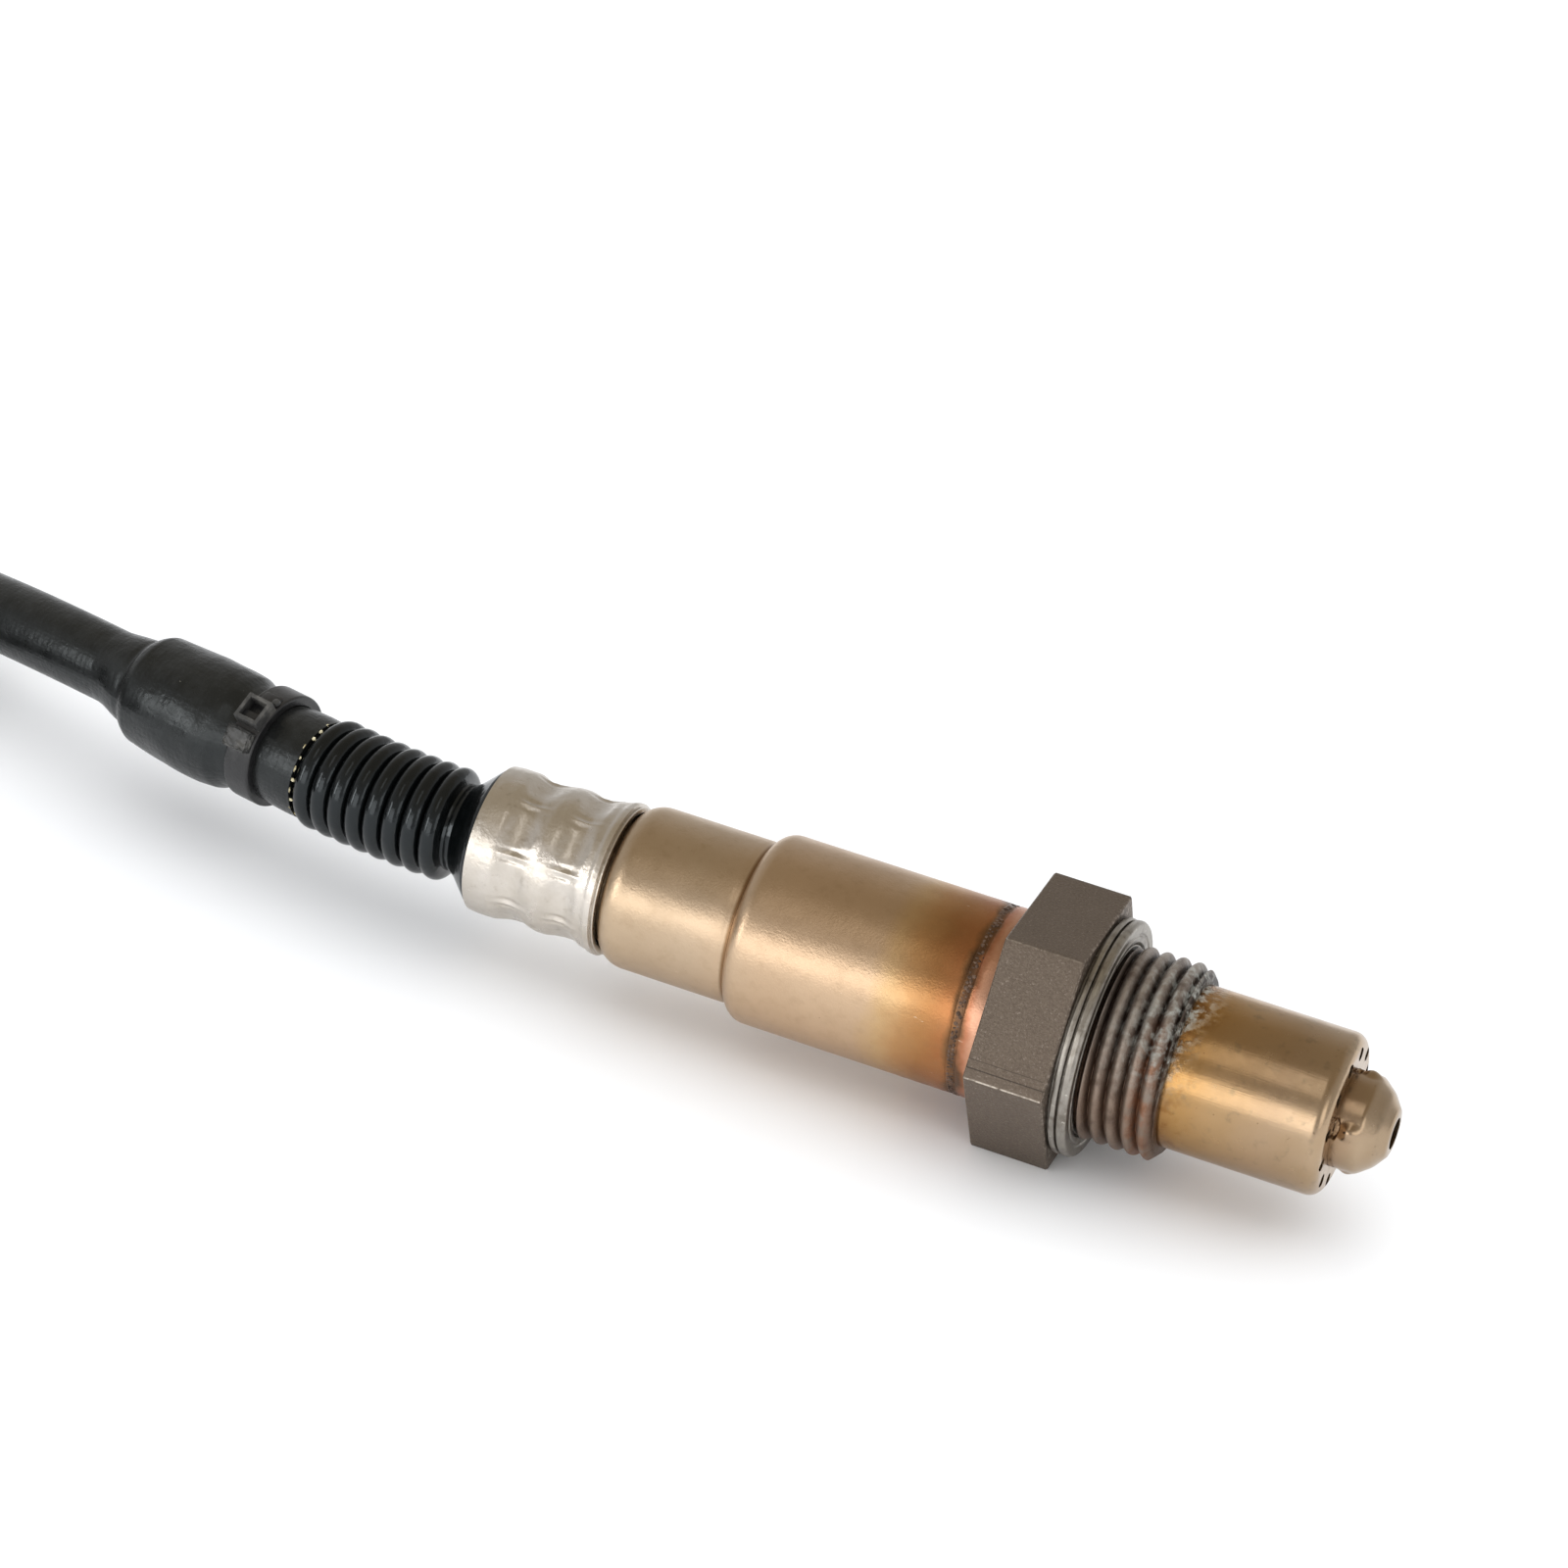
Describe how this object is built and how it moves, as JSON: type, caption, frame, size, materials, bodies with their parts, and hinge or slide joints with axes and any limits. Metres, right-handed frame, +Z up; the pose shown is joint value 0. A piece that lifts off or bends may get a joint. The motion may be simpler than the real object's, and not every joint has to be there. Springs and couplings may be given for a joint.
{
  "type": "oxygen sensor",
  "caption": "Screw-in exhaust gas sensor: a stepped metal body with a hexagon, sealing ring, thread and vented probe, a ribbed sleeve, and a coiled lead that ends in a plug.",
  "frame": {"origin": "on the thread's axis, in the plane where the gasket seals", "axes": "+X along the thread towards the sensing tip; +Z up, square to the two flats of the hexagon that the sensor lies on and shows on top"},
  "size_m": [0.236, 0.0802, 0.0263],
  "materials": {
    "housing_steel": "matt, turned and milled stainless steel",
    "gasket_steel": "satin folded sheet",
    "probe_steel": "satin drawn stainless steel, straw coloured by heat",
    "sleeve_steel": "satin stainless steel, bronze coloured by heat",
    "cap_steel": "bright nickel plate, pressed",
    "inner_steel": "plain",
    "white_ceramic": "fired, matt",
    "talc": "pressed powder",
    "black_rubber": "moulded, glossy",
    "seal_rubber": "moulded silicone",
    "braid": "coated glass fibre sleeve, satin",
    "tie_plastic": "moulded nylon",
    "wire_cover": "extruded insulation",
    "contact_metal": "plated spring strip",
    "plug_plastic": "moulded, fine grain",
    "lock_plastic": "moulded"
  },
  "bodies": {
    "root": {"housing": "housing_steel", "gasket": "gasket_steel", "outer_protection_tube": "probe_steel", "inner_protection_tube": "probe_steel", "sensor_element": "white_ceramic", "lower_ceramic_bush": "white_ceramic", "talc_packing": "talc", "upper_ceramic_bush": "white_ceramic", "disc_spring": "inner_steel", "press_ring": "inner_steel", "protective_sleeve": "sleeve_steel", "contact_holder_upper": "white_ceramic", "contact_holder_lower": "white_ceramic", "holder_clamp": "inner_steel", "contacts": "contact_metal", "wires": "wire_cover", "cable_seal": "seal_rubber", "crimp_cap": "cap_steel", "bellows": "black_rubber", "sleeve_boot": "braid", "cable_tie": "tie_plastic", "lead_sleeve": "braid", "lead_coil": "braid", "lead_tail": "braid", "coil_tie": "tie_plastic", "plug_housing": "plug_plastic", "plug_lock": "lock_plastic", "wire_seal": "seal_rubber", "rear_hood": "plug_plastic", "trim_resistor": "white_ceramic", "terminals": "contact_metal", "plug_wires": "wire_cover"}
  },
  "joints": []
}
